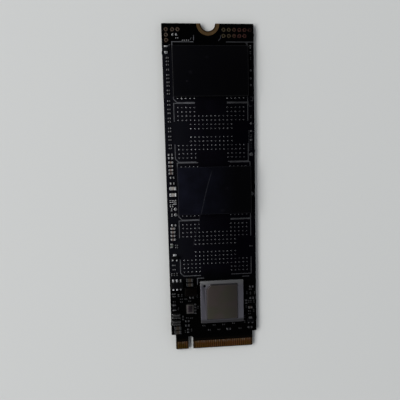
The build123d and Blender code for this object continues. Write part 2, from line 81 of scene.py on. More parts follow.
def addWindow(look):
    data = bpy.data.lights.new("windowLamp", "AREA")
    data.shape = "RECTANGLE"
    data.size, data.size_y = (side * mm for side in look["sizeMm"])
    data.energy = look["radiance"] * math.pi * data.size * data.size_y  # an even area lamp's watts
    data.color = look["colour"]
    up, turn = math.radians(look["upDegrees"]), math.radians(look["roundDegrees"])
    lamp = bpy.data.objects.new("windowLamp", data)
    toLamp = Vector((math.cos(up) * math.cos(turn), math.cos(up) * math.sin(turn), math.sin(up)))
    lamp.location = toLamp * look["awayMm"] * mm
    lamp.rotation_euler = (-toLamp).to_track_quat("-Z", "Y").to_euler()
    bpy.context.scene.collection.objects.link(lamp)


def addRoom(look):
    world = bpy.data.worlds.new("softRoom")
    world.use_nodes = True
    tree = world.node_tree
    background = tree.nodes["Background"]
    parts = tree.nodes.new("ShaderNodeSeparateXYZ")
    tree.links.new(tree.nodes.new("ShaderNodeTexCoord").outputs["Generated"], parts.inputs[0])
    heights = (math.sin(math.radians(up)) for up in look["fadeDegrees"])
    strength = spread(tree, parts.outputs["Z"], *look["strengths"], *heights)
    background.inputs["Color"].default_value = (*look["colour"], 1)
    tree.links.new(strength, background.inputs["Strength"])
    bpy.context.scene.world = world


# Node helpers for the finishes


def newNode(tree, kind, **sockets):
    node = tree.nodes.new("ShaderNode" + kind)
    for name, value in sockets.items():
        node.inputs[name.replace("_", " ")].default_value = value
    return node


def feed(tree, socket, value):
    if isinstance(value, bpy.types.NodeSocket):
        tree.links.new(value, socket)
    elif isinstance(value, tuple):  # a colour
        socket.default_value = (*value, 1)
    else:
        socket.default_value = value


def mathOf(tree, operation, *values):
    node = tree.nodes.new("ShaderNodeMath")
    node.operation = operation
    for socket, value in zip(node.inputs, values):
        feed(tree, socket, value)
    return node.outputs[0]


def blendColours(tree, factor, first, second):
    mix = tree.nodes.new("ShaderNodeMix")
    mix.data_type = "RGBA"
    feed(tree, mix.inputs[0], factor)
    feed(tree, mix.inputs[6], first)  # 6 and 7 are the node's two colours, output 2 their blend
    feed(tree, mix.inputs[7], second)
    return mix.outputs[2]


def spread(tree, value, low, high, fromLow=0.3, fromHigh=0.7, smooth=False):
    span = newNode(tree, "MapRange", From_Min=fromLow, From_Max=fromHigh, To_Min=low, To_Max=high)
    if smooth:
        span.interpolation_type = "SMOOTHSTEP"
    tree.links.new(value, span.inputs["Value"])
    return span.outputs["Result"]


def rampOver(tree, value, edgesMm, low=0, high=1):
    return spread(tree, value, low, high, *(edge * mm for edge in edgesMm))


def stepAt(tree, value, edgeMm, softMm):
    return rampOver(tree, value, (edgeMm - softMm, edgeMm + softMm))


def within(tree, value, endsMm, softMm):
    low, high = endsMm
    belowHigh = rampOver(tree, value, (high - softMm, high + softMm), 1, 0)
    return mathOf(tree, "MULTIPLY", stepAt(tree, value, low, softMm), belowHigh)


def noiseOf(tree, coords, sizeMm, detail=3.0, stretch=(1, 1, 1)):
    mapping = newNode(tree, "Mapping", Scale=[s / (sizeMm * mm) for s in stretch])
    noise = newNode(tree, "TexNoise", Scale=1.0, Detail=detail)
    tree.links.new(coords, mapping.inputs["Vector"])
    tree.links.new(mapping.outputs["Vector"], noise.inputs["Vector"])
    return noise.outputs["Fac"]


def cloudsOf(tree, coords, sizeMm, edges=(0.3, 0.7), detail=2.0, stretch=(1, 1, 1)):
    return spread(tree, noiseOf(tree, coords, sizeMm, detail, stretch), 0, 1, *edges)


def partTint(tree):  # one random value for each separate part of a mesh
    return tree.nodes.new("ShaderNodeNewGeometry").outputs["Random Per Island"]


def flatness(tree):
    parts = tree.nodes.new("ShaderNodeSeparateXYZ")
    tree.links.new(tree.nodes.new("ShaderNodeNewGeometry").outputs["Normal"], parts.inputs[0])
    return mathOf(tree, "ABSOLUTE", parts.outputs["Z"])


def distanceFrom(tree, coords, spotMm):  # measured across the card, whatever the height
    flatten = tree.nodes.new("ShaderNodeVectorMath")
    flatten.operation = "MULTIPLY"
    flatten.inputs[1].default_value = (1, 1, 0)
    tree.links.new(coords, flatten.inputs[0])
    away = tree.nodes.new("ShaderNodeVectorMath")
    away.operation = "DISTANCE"
    away.inputs[1].default_value = (spotMm[0] * mm, spotMm[1] * mm, 0)
    tree.links.new(flatten.outputs[0], away.inputs[0])
    return away.outputs["Value"]


def shadeTowards(tree, place, paint, shades):
    for axis, edgesMm, colour in shades:
        paint = blendColours(tree, rampOver(tree, place[axis], edgesMm), paint, colour)
    return paint


def newSurface(name, look):
    material = bpy.data.materials.new(name)
    material.use_nodes = True
    tree = material.node_tree
    shader = tree.nodes["Principled BSDF"]
    shader.inputs["Metallic"].default_value = look["metallic"]
    shader.inputs["Specular IOR Level"].default_value = look["specular"]
    coords = tree.nodes.new("ShaderNodeTexCoord").outputs["Object"]
    parts = tree.nodes.new("ShaderNodeSeparateXYZ")
    tree.links.new(coords, parts.inputs[0])
    return material, tree, coords, parts.outputs


def paintSurface(tree, paint, grain, look):
    shader = tree.nodes["Principled BSDF"]
    tree.links.new(paint, shader.inputs["Base Color"])
    tree.links.new(spread(tree, grain, *look["roughness"]), shader.inputs["Roughness"])
    bump = newNode(tree, "Bump", Strength=look["bump"], Distance=look["reliefMm"] * mm)
    tree.links.new(grain, bump.inputs["Height"])
    tree.links.new(bump.outputs["Normal"], shader.inputs["Normal"])


# Painted shade: domes and ink are painted darker towards the right edge, where less light falls
rightShade = {"acrossMm": (-5, 6), "most": 0.65}


def paintShadeRight(tree, place, paint):
    share = rampOver(tree, place["X"], rightShade["acrossMm"], 0, rightShade["most"])
    return blendColours(tree, share, paint, (0.0, 0.0, 0.0))


# Small parts are painted brightest in the strip along the left edge, down to its foot, as painted light;
# away from it they carry painted shade
stripPlaces = {
    "edgeMm": (-8.75, -8.1), "footMm": (-26.6, -24.9), "headMm": (33, 34),
    "middleMm": (-6.5, 4.5), "middleSoftMm": 0.2,
}


def paintLightByStrip(tree, place, paint, look):
    # painted highlight on the small parts beside the lower package
    if "midStripHighlight" in look:  # beside the lower package
        middle = within(tree, place["Y"], stripPlaces["middleMm"], stripPlaces["middleSoftMm"])
        paint = blendColours(tree, middle, paint, look["midStripHighlight"])
    # painted shade on the small parts away from the left strip
    if "inner" in look:  # away from the strip, but not in the corners by the notch
        aside = rampOver(tree, place["X"], stripPlaces["edgeMm"])
        belowHead = rampOver(tree, place["Y"], stripPlaces["headMm"], 1, 0)
        belowFoot = rampOver(tree, place["Y"], stripPlaces["footMm"], 1, 0)
        away = mathOf(tree, "MAXIMUM", mathOf(tree, "MULTIPLY", aside, belowHead), belowFoot)
        paint = blendColours(tree, away, paint, look["inner"])
    return paint


# Plain finishes; these values hold where a finish has none of its own
surfaceBasics = {
    "stretch": (1, 1, 1), "fleck": 0.35, "rareBright": 1.0, "eachPart": False, "shadedRight": False,
    "bump": 0.3, "metallic": 0.0, "specular": 0.5,
}


def surface(name, ownLook):
    look = {**surfaceBasics, **ownLook}
    material, tree, coords, place = newSurface(name, look)
    grain = noiseOf(tree, coords, look["grainMm"], stretch=look["stretch"])
    if look["eachPart"]:  # every separate part has a shade of its own
        cloud = mathOf(tree, "POWER", partTint(tree), look["rareBright"])
    else:
        cloud = cloudsOf(tree, coords, look["cloudMm"])
    paint = blendColours(tree, cloud, look["colour"], look["shade"])
    paint = blendColours(tree, spread(tree, grain, 0, look["fleck"]), paint, look["fleckColour"])
    # painted shade towards the right edge
    if look["shadedRight"]:
        paint = paintShadeRight(tree, place, paint)
    paint = paintLightByStrip(tree, place, paint, look)
    paintSurface(tree, paint, grain, look)
    return material


solderBasics = {"fleck": 0.2, "grainMm": 0.05, "reliefMm": 0.002, "metallic": 1.0, "eachPart": True}
domeBasics = {**solderBasics, "fleck": 0.3, "grainMm": 0.06, "roughness": (0.2, 0.3), "shadedRight": True}
capacitorBasics = {
    "grainMm": 0.035, "roughness": (0.4, 0.55), "reliefMm": 0.003, "specular": 0.2, "eachPart": True,
}
# The inner colours below are painted shade away from the left strip; the mid-strip colour is a painted
# highlight beside the lower package
surfaceLook = {
    "tinSolder": {
        **domeBasics, "rareBright": 0.6,
        "colour": (0.23, 0.23, 0.24), "shade": (0.1, 0.101, 0.108), "fleckColour": (0.07, 0.07, 0.075),
    },
    # a brighter copy of the tin solder for the domes of site 1: painted highlight
    "litDomeSolder": {
        **domeBasics,
        "colour": (0.5, 0.5, 0.51), "shade": (0.3, 0.3, 0.31), "fleckColour": (0.18, 0.18, 0.19),
    },
    "brightSolder": {
        **solderBasics, "roughness": (0.3, 0.4), "inner": (0.11, 0.11, 0.113),
        "colour": (0.92, 0.92, 0.93), "shade": (0.72, 0.73, 0.75), "fleckColour": (0.5, 0.5, 0.52),
    },
    "dullTin": {
        **solderBasics, "roughness": (0.4, 0.52),
        "inner": (0.05, 0.05, 0.052), "midStripHighlight": (0.62, 0.62, 0.63),
        "colour": (0.27, 0.272, 0.28), "shade": (0.15, 0.152, 0.16), "fleckColour": (0.1, 0.1, 0.105),
    },
    "softTin": {
        **solderBasics, "roughness": (0.42, 0.54), "inner": (0.1, 0.1, 0.104),
        "colour": (0.42, 0.42, 0.425), "shade": (0.25, 0.25, 0.255), "fleckColour": (0.18, 0.18, 0.185),
    },
    "tinLead": {
        **solderBasics, "roughness": (0.44, 0.56), "inner": (0.13, 0.13, 0.134),
        "colour": (0.86, 0.86, 0.87), "shade": (0.62, 0.63, 0.65), "fleckColour": (0.45, 0.45, 0.46),
    },
    "chokeCap": {
        "colour": (0.36, 0.36, 0.354), "shade": (0.2, 0.2, 0.196), "fleckColour": (0.15, 0.15, 0.15),
        "fleck": 0.15, "grainMm": 0.05, "cloudMm": 0.9, "roughness": (0.2, 0.26), "reliefMm": 0.001,
        "metallic": 1.0,
    },
    "mouldedBlack": {
        "colour": (0.0014, 0.0014, 0.0018), "shade": (0.001, 0.001, 0.0013),
        "fleckColour": (0.0035, 0.0035, 0.0045), "fleck": 0.35, "grainMm": 0.045, "cloudMm": 5.0,
        "roughness": (0.28, 0.38), "reliefMm": 0.0015, "specular": 0.12,
    },
    "chipLaminate": {
        "colour": (0.005, 0.005, 0.004), "shade": (0.003, 0.003, 0.0025),
        "fleckColour": (0.014, 0.013, 0.009), "grainMm": 0.05, "cloudMm": 1.0, "stretch": (0.2, 0.2, 2),
        "roughness": (0.5, 0.7), "reliefMm": 0.003, "specular": 0.3,
    },
    "lidGlue": {
        "colour": (0.006, 0.006, 0.006), "shade": (0.004, 0.004, 0.004),
        "fleckColour": (0.02, 0.02, 0.02), "grainMm": 0.08, "cloudMm": 1.0, "roughness": (0.6, 0.8),
        "reliefMm": 0.01, "specular": 0.2,
    },
    "dieSilicon": {
        "colour": (0.12, 0.12, 0.14), "shade": (0.1, 0.1, 0.12), "fleckColour": (0.08, 0.08, 0.1),
        "grainMm": 0.1, "cloudMm": 2.0, "roughness": (0.1, 0.16), "reliefMm": 0.001,
    },
    "thermalPaste": {
        "colour": (0.5, 0.5, 0.5), "shade": (0.42, 0.42, 0.42), "fleckColour": (0.3, 0.3, 0.3),
        "grainMm": 0.1, "cloudMm": 1.0, "roughness": (0.7, 0.9), "reliefMm": 0.01,
    },
    "caseCeramic": {
        "colour": (0.016, 0.014, 0.013), "shade": (0.011, 0.01, 0.009),
        "fleckColour": (0.008, 0.007, 0.007), "grainMm": 0.04, "cloudMm": 0.8, "roughness": (0.5, 0.65),
        "reliefMm": 0.003, "specular": 0.25,
    },
    "capacitorBeige": {
        **capacitorBasics, "inner": (0.02, 0.0155, 0.0115),
        "colour": (0.31, 0.295, 0.28), "shade": (0.22, 0.205, 0.19), "fleckColour": (0.12, 0.105, 0.095),
    },
    "capacitorTan": {
        **capacitorBasics, "inner": (0.03, 0.022, 0.018),
        "colour": (0.14, 0.109, 0.097), "shade": (0.07, 0.054, 0.047),
        "fleckColour": (0.045, 0.035, 0.03),
    },
    "capacitorBrown": {
        **capacitorBasics, "specular": 0.15, "inner": (0.003, 0.0025, 0.002),
        "colour": (0.013, 0.0095, 0.0075), "shade": (0.006, 0.005, 0.0045),
        "fleckColour": (0.006, 0.005, 0.004),
    },
    "resistorBlack": {
        "colour": (0.0025, 0.0025, 0.003), "shade": (0.0015, 0.0015, 0.002),
        "fleckColour": (0.006, 0.006, 0.007), "grainMm": 0.035, "cloudMm": 0.5,
        "roughness": (0.3, 0.45), "reliefMm": 0.002, "specular": 0.15,
    },
    "beadGreen": {
        "colour": (0.085, 0.1, 0.075), "shade": (0.06, 0.074, 0.055),
        "fleckColour": (0.03, 0.035, 0.03), "grainMm": 0.04, "cloudMm": 0.6, "roughness": (0.45, 0.6),
        "reliefMm": 0.003, "specular": 0.3,
    },
    "ferriteBlack": {
        "colour": (0.0012, 0.0006, 0.0005), "shade": (0.0007, 0.0004, 0.0003),
        "fleckColour": (0.002, 0.0014, 0.001), "grainMm": 0.05, "cloudMm": 0.9, "roughness": (0.3, 0.4),
        "reliefMm": 0.002, "specular": 0.06,
    },
    "chokeGrey": {
        "colour": (0.002, 0.002, 0.002), "shade": (0.0012, 0.0012, 0.0012),
        "fleckColour": (0.006, 0.006, 0.006), "grainMm": 0.05, "cloudMm": 0.7, "roughness": (0.45, 0.6),
        "reliefMm": 0.005, "specular": 0.3,
    },
}
finishes = {name: surface(name, look) for name, look in surfaceLook.items()}
print("plain finishes:", len(finishes))

# One long thin scratch, down the lower package and on over the board. In metres, its place across
# the card is offset + slope * along + bend * along squared.
scratchPath = {
    "offsetMm": -1.5, "slope": 0.263, "bend": 8.6, "straightBelowMm": -3,
    "wideMm": 0.05, "softMm": 0.035, "fadeMm": 0.6,
    "breakMm": 0.5, "breakDetail": 4.0, "faintest": 0.35,
}


def scratchLine(tree, coords, place, endsMm):
    path = scratchPath
    bent = mathOf(tree, "MAXIMUM", place["Y"], path["straightBelowMm"] * mm)
    bent = mathOf(tree, "MULTIPLY", mathOf(tree, "MULTIPLY", bent, bent), path["bend"])
    straight = mathOf(tree, "MULTIPLY_ADD", place["Y"], path["slope"], path["offsetMm"] * mm)
    curve = mathOf(tree, "ADD", straight, bent)
    away = mathOf(tree, "ABSOLUTE", mathOf(tree, "SUBTRACT", place["X"], curve))
    line = rampOver(tree, away, (path["wideMm"], path["wideMm"] + path["softMm"]), 1, 0)
    line = mathOf(tree, "MULTIPLY", line, within(tree, place["Y"], endsMm, path["fadeMm"]))
    breaks = noiseOf(tree, coords, path["breakMm"], path["breakDetail"])
    return mathOf(tree, "MULTIPLY", line, spread(tree, breaks, path["faintest"], 1))


# The board's finish: mask on both faces with painted light and shade across it, bare laminate at the
# tongue, glass layers on the edges
boardLook = {
    "mask": (0.0021, 0.0019, 0.0034), "maskShade": (0.0014, 0.0013, 0.0023), "cloudMm": 3.0,
    "towards": [
        # painted light to the left, painted shade to the right and at both ends
        ("X", (-1.5, -8), (0.0042, 0.0043, 0.0062)),  # brighter to the left
        ("X", (0, 6), (0.0006, 0.0005, 0.0013)),
        ("Y", (33.5, 35.5), (0.0005, 0.0005, 0.0006)),  # and nearly black at both ends
        ("Y", (-19, -23), (0.0006, 0.0006, 0.0006)),
    ],
    "scratch": (0.016, 0.016, 0.02), "scratchEndsMm": (-13, -5.5),
    "partsSideMm": 0.4, "partsSideSoftMm": 0.1,
    "laminate": (0.003, 0.0022, 0.0014), "bareBelowMm": -37.25, "bareSoftMm": 0.02,
    "betweenContacts": (0.022, 0.012, 0.0045), "shortOfContactsMm": 0.3, "shortSoftMm": 0.05,
    "edge": (0.02, 0.017, 0.012), "edgeLayer": (0.008, 0.007, 0.006), "layerMm": 0.13,
    "layerStretch": (0.06, 0.06, 1), "layerEdges": (0.4, 0.6), "faceFlatness": (0.4, 0.6),
    "grainMm": 0.12, "roughness": (0.2, 0.28), "bump": 0.2, "reliefMm": 0.002,
    "metallic": 0.0, "specular": 0.08,
}


def boardSurface(name, look):
    material, tree, coords, place = newSurface(name, look)
    grain = noiseOf(tree, coords, look["grainMm"])
    mask = blendColours(tree, cloudsOf(tree, coords, look["cloudMm"]), look["mask"], look["maskShade"])
    mask = shadeTowards(tree, place, mask, look["towards"])
    scratch = scratchLine(tree, coords, place, look["scratchEndsMm"])
    onPartsSide = stepAt(tree, place["Z"], look["partsSideMm"], look["partsSideSoftMm"])
    mask = blendColours(tree, mathOf(tree, "MULTIPLY", scratch, onPartsSide), mask, look["scratch"])
    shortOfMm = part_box("contacts_top")[1].y / mm - look["shortOfContactsMm"]
    aboveContacts = stepAt(tree, place["Y"], shortOfMm, look["shortSoftMm"])
    laminate = blendColours(tree, aboveContacts, look["betweenContacts"], look["laminate"])
    isMask = stepAt(tree, place["Y"], look["bareBelowMm"], look["bareSoftMm"])
    facePaint = blendColours(tree, isMask, laminate, mask)
    layers = cloudsOf(tree, coords, look["layerMm"], look["layerEdges"], stretch=look["layerStretch"])
    edgePaint = blendColours(tree, layers, look["edge"], look["edgeLayer"])
    isFace = spread(tree, flatness(tree), 0, 1, *look["faceFlatness"])
    paintSurface(tree, blendColours(tree, isFace, edgePaint, facePaint), grain, look)
    return material


# What the placed metal finishes share
metalBasics = {"metallic": 1.0, "specular": 0.5, "bump": 0.25, "reliefMm": 0.003}

# Land round the notch: worn darker next to the wall
notchLook = {
    **metalBasics,
    "gold": (0.42, 0.262, 0.115), "goldShade": (0.32, 0.19, 0.085), "cloudMm": 1.2, "cloudDetail": 3.0,
    "worn": (0.1, 0.062, 0.035), "wornInsideMm": 2.02, "wornSoftMm": 0.12, "centreMm": (0, 40),
    "grainMm": 0.07, "roughness": (0.3, 0.44),
}


def notchSurface(name, look):
    material, tree, coords, _ = newSurface(name, look)
    grain = noiseOf(tree, coords, look["grainMm"])
    cloud = cloudsOf(tree, coords, look["cloudMm"], detail=look["cloudDetail"])
    gold = blendColours(tree, cloud, look["gold"], look["goldShade"])
    away = distanceFrom(tree, coords, look["centreMm"])
    outside = stepAt(tree, away, look["wornInsideMm"], look["wornSoftMm"])
    paintSurface(tree, blendColours(tree, outside, look["worn"], gold), grain, look)
    return material


# Lid: bluish nickel brim, browner plateau, the slope between them painted dark as painted shade, dark pin
# mark
lidLook = {
    **metalBasics,
    "brim": (0.37, 0.36, 0.415), "brimShade": (0.33, 0.32, 0.37), "cloudMm": 3.5,
    # painted shade on the left and lower brim, painted highlight along its top
    "brimPaintedLight": [
        ("X", (-1.4, -2.6), (0.24, 0.232, 0.275)),
        ("Y", (-23.6, -22.7), (0.43, 0.43, 0.44)),
        ("Y", (-31.9, -32.5), (0.13, 0.126, 0.135)),
    ],
    "plateauPink": (0.205, 0.168, 0.156), "plateauOlive": (0.182, 0.17, 0.132),
    "tintMm": 4.5, "tintDetail": 1.0, "tintEdges": (0.42, 0.58),
    # the plateau is painted darker to the right: painted shade
    "plateauPaintedShade": [("X", (2.5, 8.0), (0.13, 0.108, 0.108))],
    # the slope and its bevels are painted dark: painted shade
    "slope": (0.022, 0.02, 0.021), "slopeMm": (1.604, 1.946), "slopeSoftMm": 0.003,
    "pinMark": (0.002, 0.002, 0.002), "pinFromCornerMm": (1.05, 1.25),
    "pinRadiusMm": 0.33, "pinSoftMm": 0.02,
    "grainMm": 0.05, "roughness": (0.34, 0.46),
}


def lidSurface(name, look):
    material, tree, coords, place = newSurface(name, look)
    grain = noiseOf(tree, coords, look["grainMm"])
    brim = blendColours(tree, cloudsOf(tree, coords, look["cloudMm"]), look["brim"], look["brimShade"])
    brim = shadeTowards(tree, place, brim, look["brimPaintedLight"])
    tints = cloudsOf(tree, coords, look["tintMm"], look["tintEdges"], look["tintDetail"])
    plateau = blendColours(tree, tints, look["plateauPink"], look["plateauOlive"])
    plateau = shadeTowards(tree, place, plateau, look["plateauPaintedShade"])
    slopeFoot, slopeTop = look["slopeMm"]
    aboveFoot = stepAt(tree, place["Z"], slopeFoot, look["slopeSoftMm"])
    aboveSlope = stepAt(tree, place["Z"], slopeTop, look["slopeSoftMm"])
    # painted shade on the slope
    paint = blendColours(tree, aboveFoot, brim, look["slope"])
    paint = blendColours(tree, aboveSlope, paint, plateau)
    pinAway = distanceFrom(tree, coords, pinSpot(look))
    outsidePin = stepAt(tree, pinAway, look["pinRadiusMm"], look["pinSoftMm"])
    paintSurface(tree, blendColours(tree, outsidePin, look["pinMark"], paint), grain, look)
    return material


def pinSpot(look):
    low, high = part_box("controller_lid")
    right, down = look["pinFromCornerMm"]
    return (low.x / mm + right, high.y / mm - down)


# Moulded memory: a painted bluish sheen towards one side, a painted reflection, a few scuffs, and the
# scratch on the lower package
mouldLook = {
    "colour": (0.0006, 0.0006, 0.0009), "fleck": (0.0018, 0.0018, 0.0025), "fleckMost": 0.4,
    "paintedSheen": (0.0014, 0.0014, 0.0028), "sheenSideMm": (-9, 6), "cloudMm": 2.5, "cloudDetail": 2.0,
    "scuff": (0.016, 0.015, 0.019), "scuffCore": 0.3,
    "scuffs": [  # across, along, radius and strength
        (-5.31, 26.6, 0.28, 1.0), (-4.5, 28.6, 0.6, 0.45), (-0.6, 32.0, 0.45, 0.35),
    ],
    "roughMm": 0.25, "roughDetail": 4.0, "roughEdges": (0.45, 0.6),
    "grainMm": 0.045, "roughness": (0.26, 0.36), "bump": 0.25, "reliefMm": 0.0015,
    "metallic": 0.0, "specular": 0.1,
}
scratchedLook = {
    **mouldLook,
    "paintedSheen": (0.0085, 0.0094, 0.019), "scuffs": [(3.7, 1.0, 0.5, 0.35), (2.6, -4.4, 0.6, 0.35)],
    "scratch": (0.024, 0.025, 0.03), "scratchEndsMm": (-7, 5),
}


def mouldSurface(name, look):
    material, tree, coords, place = newSurface(name, look)
    grain = noiseOf(tree, coords, look["grainMm"])
    cloud = noiseOf(tree, coords, look["cloudMm"], look["cloudDetail"])
    # painted reflection: a bluish sheen towards the left side
    paintedSheen = mathOf(tree, "MULTIPLY", rampOver(tree, place["X"], look["sheenSideMm"], 1, 0), cloud)
    paint = blendColours(tree, paintedSheen, look["colour"], look["paintedSheen"])
    paint = blendColours(tree, spread(tree, grain, 0, look["fleckMost"]), paint, look["fleck"])
    rough = cloudsOf(tree, coords, look["roughMm"], look["roughEdges"], look["roughDetail"])
    for x, y, radius, strength in look["scuffs"]:
        away = distanceFrom(tree, coords, (x, y))
        scuff = spread(tree, away, strength, 0, look["scuffCore"] * radius * mm, radius * mm, smooth=True)
        paint = blendColours(tree, mathOf(tree, "MULTIPLY", scuff, rough), paint, look["scuff"])
    if "scratch" in look:
        scratch = scratchLine(tree, coords, place, look["scratchEndsMm"])
        paint = blendColours(tree, scratch, paint, look["scratch"])
    paintSurface(tree, paint, grain, look)
    return material


# Printed ink, painted faint where it runs along the sides of the two packages, as painted shade
inkLook = {
    "ink": (0.115, 0.118, 0.13), "shade": (0.065, 0.067, 0.075), "cloudMm": 1.4,
    "thin": (0.012, 0.012, 0.013), "thinMost": 0.6,
    "besideShade": (0.014, 0.014, 0.017), "besideMm": [(23.2, 34.3), (-5.3, 6.3)], "besideSoftMm": 0.5,
    "grainMm": 0.07, "roughness": (0.5, 0.7), "bump": 0.25, "reliefMm": 0.004,
    "metallic": 0.0, "specular": 0.2,
}


def inkSurface(name, look):
    material, tree, coords, place = newSurface(name, look)
    grain = noiseOf(tree, coords, look["grainMm"])
    paint = blendColours(tree, cloudsOf(tree, coords, look["cloudMm"]), look["ink"], look["shade"])
    paint = blendColours(tree, spread(tree, grain, 0, look["thinMost"]), paint, look["thin"])
    # painted shade towards the right edge
    paint = paintShadeRight(tree, place, paint)
    # painted shade along the sides of the packages
    for endsMm in look["besideMm"]:
        beside = within(tree, place["Y"], endsMm, look["besideSoftMm"])
        paint = blendColours(tree, beside, paint, look["besideShade"])
    paintSurface(tree, paint, grain, look)
    return material


# Edge contacts: orange gold in olive and rose patches, paler at the upper ends of the parts side
contactTints = {
    **metalBasics,
    "gold": (0.37, 0.15, 0.038), "shade": (0.27, 0.105, 0.027),
    "towards": [("X", (-4.6, -5.4), (0.2, 0.115, 0.013))],  # yellower left of the key slot
    "patches": [  # colour, size and edges
        ((0.27, 0.143, 0.025), 4.0, (0.42, 0.58)), ((0.35, 0.14, 0.06), 2.6, (0.5, 0.62)),
    ],
    "patchMost": 0.7,
    "worn": (0.19, 0.075, 0.02), "wornMost": 0.4,
    "streakMm": 0.4, "streakStretch": (1, 0.25, 1), "streakLeast": 0.1, "streakEdges": (0.4, 0.65),
    "contactLeast": 0.25, "contactEdges": (0.2, 0.8),
    "pale": (0.62, 0.47, 0.37), "paleAboveMm": -38.4, "paleSoftMm": 0.3,
    "topOnlyMm": 0.4, "topSoftMm": 0.1,
    "mask": (0.002, 0.002, 0.002), "maskedMm": 0.28, "maskSoftMm": 0.03,
    "grainMm": 0.05, "grainStretch": (1, 0.12, 1), "roughness": (0.28, 0.42),
}


def contactSurface(name, look):
    material, tree, coords, place = newSurface(name, look)
    grain = noiseOf(tree, coords, look["grainMm"], stretch=look["grainStretch"])
    tint = partTint(tree)
    paint = blendColours(tree, tint, look["gold"], look["shade"])
    paint = shadeTowards(tree, place, paint, look["towards"])
    for colour, sizeMm, edges in look["patches"]:
        patch = mathOf(tree, "MULTIPLY", cloudsOf(tree, coords, sizeMm, edges), look["patchMost"])
        paint = blendColours(tree, patch, paint, colour)
    paint = blendColours(tree, spread(tree, grain, 0, look["wornMost"]), paint, look["worn"])
    streaks = noiseOf(tree, coords, look["streakMm"], stretch=look["streakStretch"])
    streaks = spread(tree, streaks, look["streakLeast"], 1, *look["streakEdges"])
    eachContact = spread(tree, tint, look["contactLeast"], 1, *look["contactEdges"])
    upperEnd = stepAt(tree, place["Y"], look["paleAboveMm"], look["paleSoftMm"])
    upperEnd = mathOf(tree, "MULTIPLY", upperEnd, mathOf(tree, "MULTIPLY", streaks, eachContact))
    partsSide = stepAt(tree, place["Z"], look["topOnlyMm"], look["topSoftMm"])
    paint = blendColours(tree, mathOf(tree, "MULTIPLY", upperEnd, partsSide), paint, look["pale"])
    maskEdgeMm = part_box("contacts_top")[1].y / mm - look["maskedMm"]
    underMask = stepAt(tree, place["Y"], maskEdgeMm, look["maskSoftMm"])
    paintSurface(tree, blendColours(tree, underMask, paint, look["mask"]), grain, look)
    return material


# Crystal cover: a light seam-welded rim round a darker middle
crystalLook = {
    **metalBasics,
    "rim": (0.24, 0.225, 0.215), "middle": (0.075, 0.06, 0.07), "edge": (0.02, 0.018, 0.018),
    "middleHalfMm": (0.6, 0.86), "rimWideMm": 0.25, "softMm": 0.03,
    "grainMm": 0.05, "roughness": (0.3, 0.42),
}


def crystalSurface(name, look):
    material, tree, coords, place = newSurface(name, look)
    grain = noiseOf(tree, coords, look["grainMm"])
    low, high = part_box("crystal_lid")
    reach = []
    for index, half in enumerate(look["middleHalfMm"]):
        centre = (low[index] + high[index]) / 2
        offset = mathOf(tree, "ABSOLUTE", mathOf(tree, "SUBTRACT", place[index], centre))
        reach.append(mathOf(tree, "SUBTRACT", offset, half * mm))
    reach = mathOf(tree, "MAXIMUM", *reach)
    paint = blendColours(tree, stepAt(tree, reach, 0, look["softMm"]), look["middle"], look["rim"])
    pastRim = stepAt(tree, reach, look["rimWideMm"], look["softMm"])
    paintSurface(tree, blendColours(tree, pastRim, paint, look["edge"]), grain, look)
    return material


# Probe rings: silver and copper at the left corner, gold fading to dull red at the right
ringTints = {
    **metalBasics,
    "left": (0.27, 0.22, 0.18), "leftShade": (0.22, 0.12, 0.075), "gold": (0.2, 0.158, 0.095),
    "towards": [("X", (5.0, 6.8), (0.17, 0.076, 0.063)), ("X", (9.7, 9.9), (0.05, 0.03, 0.026))],
    "middleMm": 0, "middleSoftMm": 0.1,
    "grainMm": 0.08, "roughness": (0.28, 0.42), "reliefMm": 0.004,
}


def ringSurface(name, look):
    material, tree, coords, place = newSurface(name, look)
    grain = noiseOf(tree, coords, look["grainMm"])
    leftPaint = blendColours(tree, partTint(tree), look["left"], look["leftShade"])
    rightPaint = shadeTowards(tree, place, look["gold"], look["towards"])
    isRight = stepAt(tree, place["X"], look["middleMm"], look["middleSoftMm"])
    paintSurface(tree, blendColours(tree, isRight, leftPaint, rightPaint), grain, look)
    return material


placedFinishes = {
    "boardMask": (boardSurface, boardLook), "lidPlate": (lidSurface, lidLook),
    "notchGold": (notchSurface, notchLook), "upperMould": (mouldSurface, mouldLook),
    "lowerMould": (mouldSurface, scratchedLook), "contactGold": (contactSurface, contactTints),
    "printedInk": (inkSurface, inkLook), "crystalMetal": (crystalSurface, crystalLook),
    "ringCopper": (ringSurface, ringTints),
}
for name, (makeSurface, look) in placedFinishes.items():
    finishes[name] = makeSurface(name, look)
print("placed finishes:", len(placedFinishes))

# Mesh helpers


meshLook = {"weldMm": 0.0005, "flatDegrees": 1, "bevelOverDegrees": 30}


def nodeMesh(nodeName):  # a copy of a CAD node's mesh, its facets joined to whole faces
    shape = bmesh.new()
    shape.from_mesh(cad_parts[nodeName].data)
    flat = math.radians(meshLook["flatDegrees"])
    bmesh.ops.remove_doubles(shape, verts=shape.verts, dist=meshLook["weldMm"] * mm)
    bmesh.ops.dissolve_limit(shape, angle_limit=flat, verts=shape.verts, edges=shape.edges)
    return shape


def islandBoxes(nodeName):  # the boxes of a node's separate solids, in an order that stays
    shape = nodeMesh(nodeName)
    seen = set()
    boxes = []
    for start in shape.verts:
        if start.index in seen:
            continue
        seen.add(start.index)
        group = [start]
        for vert in group:  # the list grows while it is walked
            for edge in vert.link_edges:
                other = edge.other_vert(vert)
                if other.index not in seen:
                    seen.add(other.index)
                    group.append(other)
        low = Vector([min(v.co[i] for v in group) for i in range(3)])
        high = Vector([max(v.co[i] for v in group) for i in range(3)])
        boxes.append((low, high))
    shape.free()
    return sorted(boxes, key=lambda b: tuple(round(c, 6) for c in b[0]))


